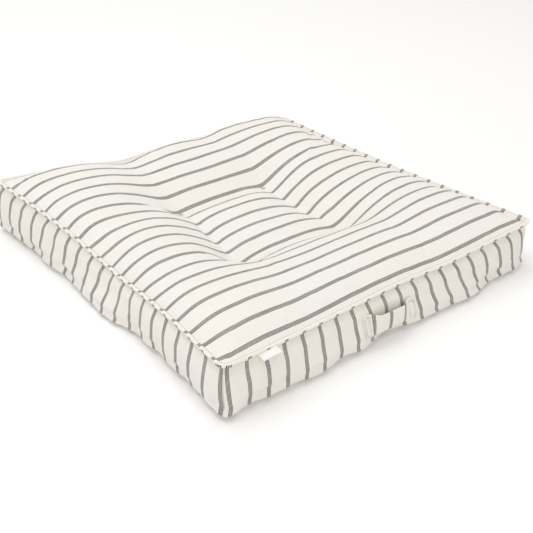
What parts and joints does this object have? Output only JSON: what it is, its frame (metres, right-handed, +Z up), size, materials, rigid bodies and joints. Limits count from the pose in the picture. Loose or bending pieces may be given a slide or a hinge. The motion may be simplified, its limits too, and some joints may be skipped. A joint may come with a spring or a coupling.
{
  "type": "floor cushion",
  "caption": "Square tufted floor cushion with striped cotton cover, stitched edge ridges, a side carrying handle and a small sewn-in label.",
  "frame": {"origin": "centre of the underside, at floor level", "axes": "+Z up out of the top; the side with the handle and label faces -Y; the top's stripes run along X"},
  "size_m": [0.608, 0.6197, 0.097],
  "materials": {
    "wadding": "loose cotton and polyester fibre",
    "striped_cotton": "matt plain-weave cotton, off-white with thin dark grey stripe groups",
    "satin_ribbon": "soft satin sheen",
    "sewing_thread": "matt spun thread",
    "tufting_twine": "matt waxed twine"
  },
  "bodies": {
    "cushion": {"filling": "wadding", "top_panel": "striped_cotton", "bottom_panel": "striped_cotton", "boxing_front": "striped_cotton", "boxing_right": "striped_cotton", "boxing_back": "striped_cotton", "boxing_left": "striped_cotton", "top_welt": "striped_cotton", "bottom_welt": "striped_cotton", "top_stitching": "sewing_thread", "bottom_stitching": "sewing_thread", "corner_thread_front_left": "sewing_thread", "corner_thread_front_right": "sewing_thread", "corner_thread_back_left": "sewing_thread", "corner_thread_back_right": "sewing_thread", "tuft_tie_front_left": "tufting_twine", "tuft_tie_front_right": "tufting_twine", "tuft_tie_back_left": "tufting_twine", "tuft_tie_back_right": "tufting_twine", "handle_end_left": "striped_cotton", "handle_end_right": "striped_cotton", "handle_stitching_left": "sewing_thread", "handle_stitching_right": "sewing_thread"},
    "handle": {"handle_band": "striped_cotton"},
    "label": {"label": "satin_ribbon"}
  },
  "joints": [
    {"name": "handle_swing", "type": "hinge", "parent": "cushion", "child": "handle", "pos_m": [-0.013, -0.3145, 0.032], "axis": [1, 0, 0], "range_deg": [-20, 20], "stiffness_Nm_per_rad": 0.02},
    {"name": "label_flip", "type": "hinge", "parent": "cushion", "child": "label", "pos_m": [-0.234, -0.3032, 0.0673], "axis": [1, 0, 0], "range_deg": [-48, 25], "stiffness_Nm_per_rad": 0.002}
  ]
}
